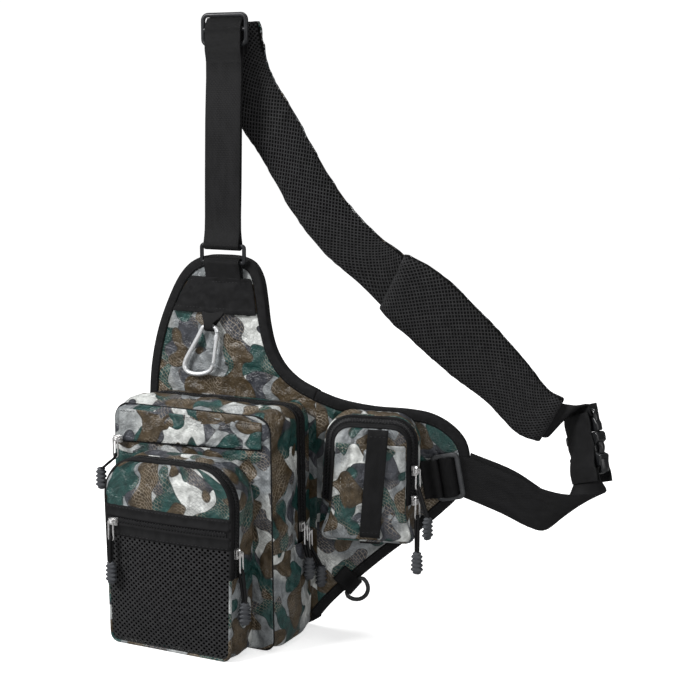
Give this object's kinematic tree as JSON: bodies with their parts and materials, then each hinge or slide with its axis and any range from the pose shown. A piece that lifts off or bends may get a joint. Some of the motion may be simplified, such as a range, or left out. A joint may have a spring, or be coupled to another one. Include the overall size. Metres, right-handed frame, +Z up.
{
  "type": "tackle sling bag",
  "caption": "Camouflage tackle sling bag with a zipped main compartment, mesh front pocket, hip wing with a pouch, and a padded cross-body strap.",
  "frame": {"origin": "inside of the strap's top fold, at the middle of the webbing, where the bag hangs", "axes": "+Z up along the hanging strap, -Y toward the bag's front, +X toward the hip wing and its strap"},
  "size_m": [0.446, 0.2581, 0.5767],
  "materials": {
    "camo": "satin",
    "black_tape": "matte",
    "webbing": "satin",
    "net": "matte",
    "plastic": "satin",
    "grip": "matte",
    "bright_metal": "polished",
    "dark_metal": "satin"
  },
  "bodies": {
    "bag": {"back_panel": "camo", "hip_wing": "camo", "panel_binding": "black_tape", "wing_binding": "black_tape", "neck_reinforcement": "black_tape", "main_gusset": "camo", "main_zip": "black_tape", "rear_gusset": "camo", "main_front": "camo", "front_flap": "camo", "pocket_gusset": "camo", "pocket_zip": "black_tape", "pocket_mesh": "net", "pocket_band": "black_tape", "pocket_front": "camo", "pouch_gusset": "camo", "pouch_zip": "black_tape", "pouch_front": "camo", "pouch_strip": "webbing", "neck_ring": "plastic", "neck_loop": "webbing", "upper_strap": "webbing", "strap_slider": "plastic", "strap_bridge": "webbing", "shoulder_strap": "net", "shoulder_pad": "net", "buckle_female": "plastic", "buckle_male": "plastic", "strap_stub": "webbing", "stub_fold": "webbing", "buckle_guard": "webbing", "lower_strap": "webbing", "lower_strap_tail": "webbing", "ladder_lock": "plastic", "ladder_tab": "webbing", "carabiner_keeper": "webbing", "d_ring_tab": "webbing", "flap_slider": "bright_metal", "flap_pull": "grip", "band_slider": "bright_metal", "band_pull": "grip", "pocket_slider": "bright_metal", "pocket_pull": "grip", "main_front_slider": "bright_metal", "main_front_pull": "grip", "main_rear_slider": "bright_metal", "main_rear_pull": "grip", "pouch_upper_slider": "bright_metal", "pouch_upper_pull": "grip", "pouch_lower_slider": "bright_metal", "pouch_lower_pull": "grip"},
    "carabiner": {"carabiner_body": "bright_metal"},
    "gate": {"carabiner_gate": "bright_metal"},
    "dee": {"d_ring": "dark_metal"}
  },
  "joints": [
    {"name": "carabiner_swing", "type": "hinge", "parent": "bag", "child": "carabiner", "pos_m": [-0.018, -0.0103, -0.2878], "axis": [-1, 0, 0], "range_deg": [0, 90]},
    {"name": "gate_open", "type": "hinge", "parent": "carabiner", "child": "gate", "pos_m": [-0.0147, -0.0103, -0.3234], "axis": [0, -1, 0], "range_deg": [0, 25], "stiffness_Nm_per_rad": 0.01},
    {"name": "d_ring_swing", "type": "hinge", "parent": "bag", "child": "dee", "pos_m": [0.12801, 0.0023, -0.5264], "axis": [-0.6103, -0.2221, -0.7604], "range_deg": [0, 100]}
  ]
}
